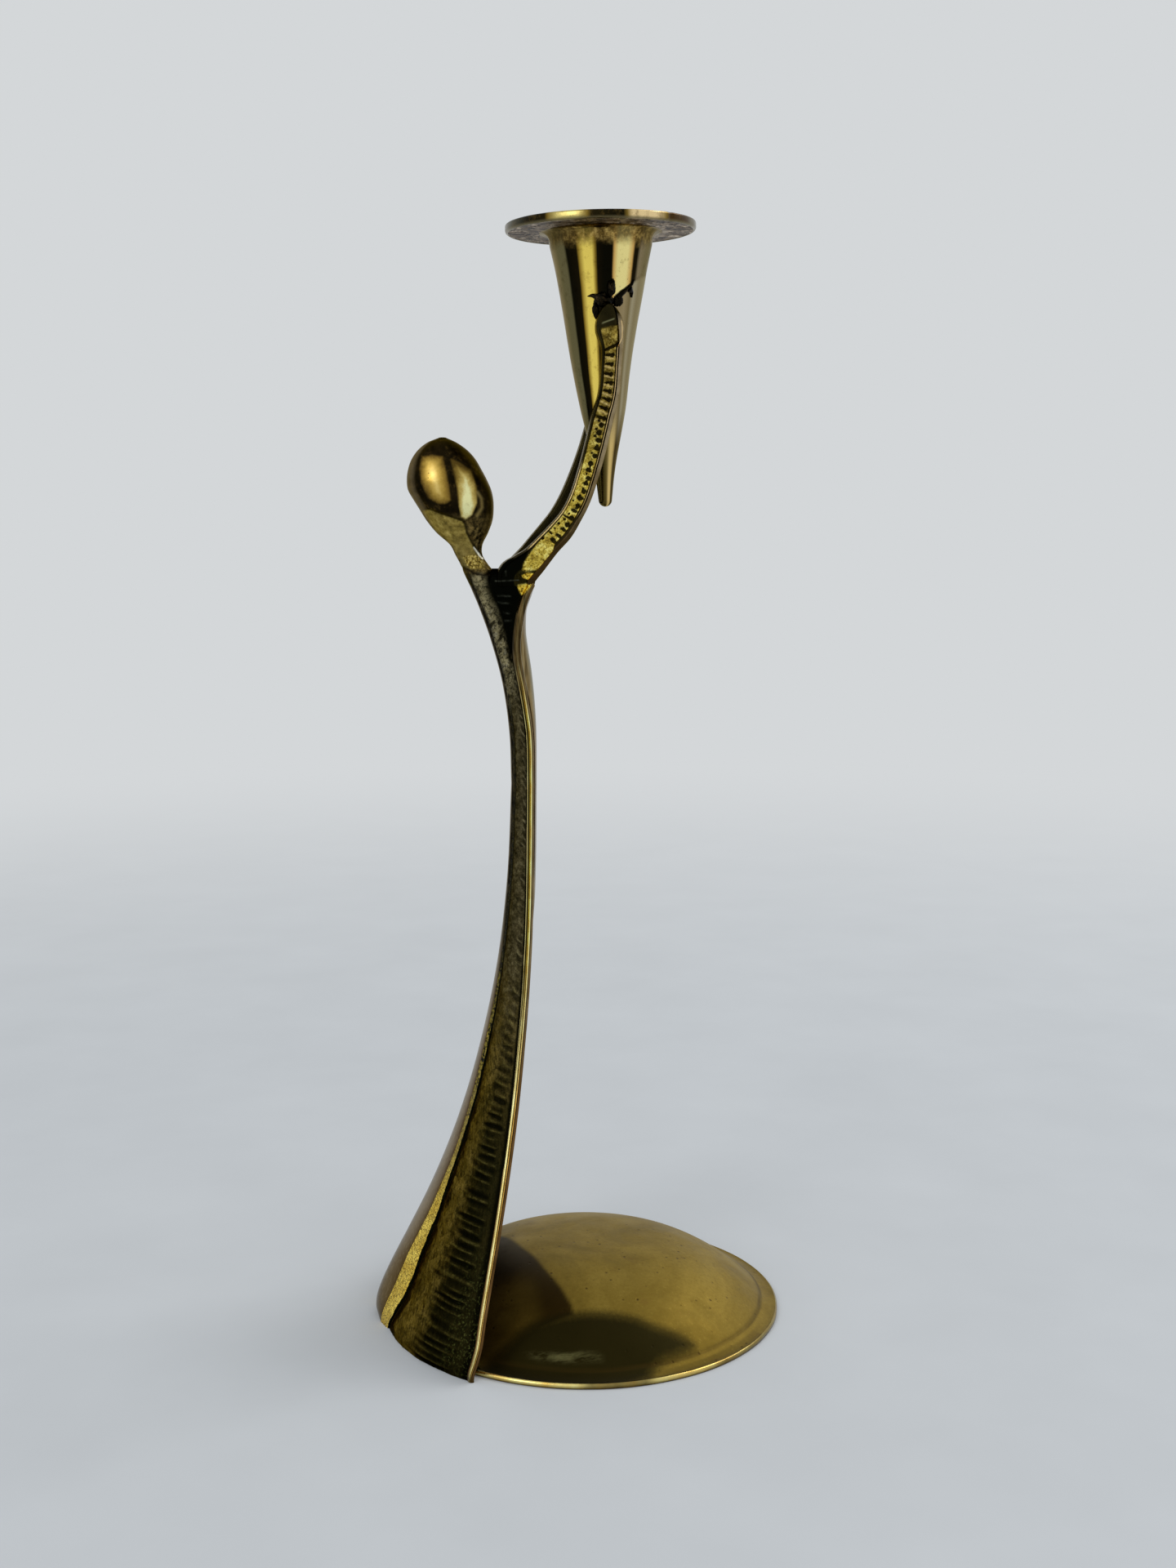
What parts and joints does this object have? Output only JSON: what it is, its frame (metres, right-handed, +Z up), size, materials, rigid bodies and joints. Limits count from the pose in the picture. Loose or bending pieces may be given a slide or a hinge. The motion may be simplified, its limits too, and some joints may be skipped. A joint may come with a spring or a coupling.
{
  "type": "candle holder",
  "caption": "Candle holder: a slender figure with a faceless oval head and a flared gown lifts a conical candle cup with a round drip pan over a domed round foot.",
  "frame": {"origin": "middle of the space that the holder takes on the table, at table height", "axes": "+X the way the figure faces, from the gown towards the middle of the foot; +Y the figure's left; +Z up"},
  "size_m": [0.1254, 0.12, 0.3285],
  "materials": {
    "foot_brass": "satin, aged",
    "gown_brass": "cast texture, dark patina in the side panels, polished edges",
    "polished_brass": "polished, aged",
    "arm_brass": "polished edges, rough cast channel",
    "braze_metal": "dark, rough brazing metal"
  },
  "bodies": {
    "root": {"foot": "foot_brass", "body": "gown_brass", "head": "polished_brass", "right_arm": "arm_brass", "left_arm": "arm_brass", "candle_cup": "polished_brass", "drip_pan": "polished_brass", "right_hand_braze": "braze_metal", "left_hand_braze": "braze_metal", "foot_braze": "braze_metal"}
  },
  "joints": []
}
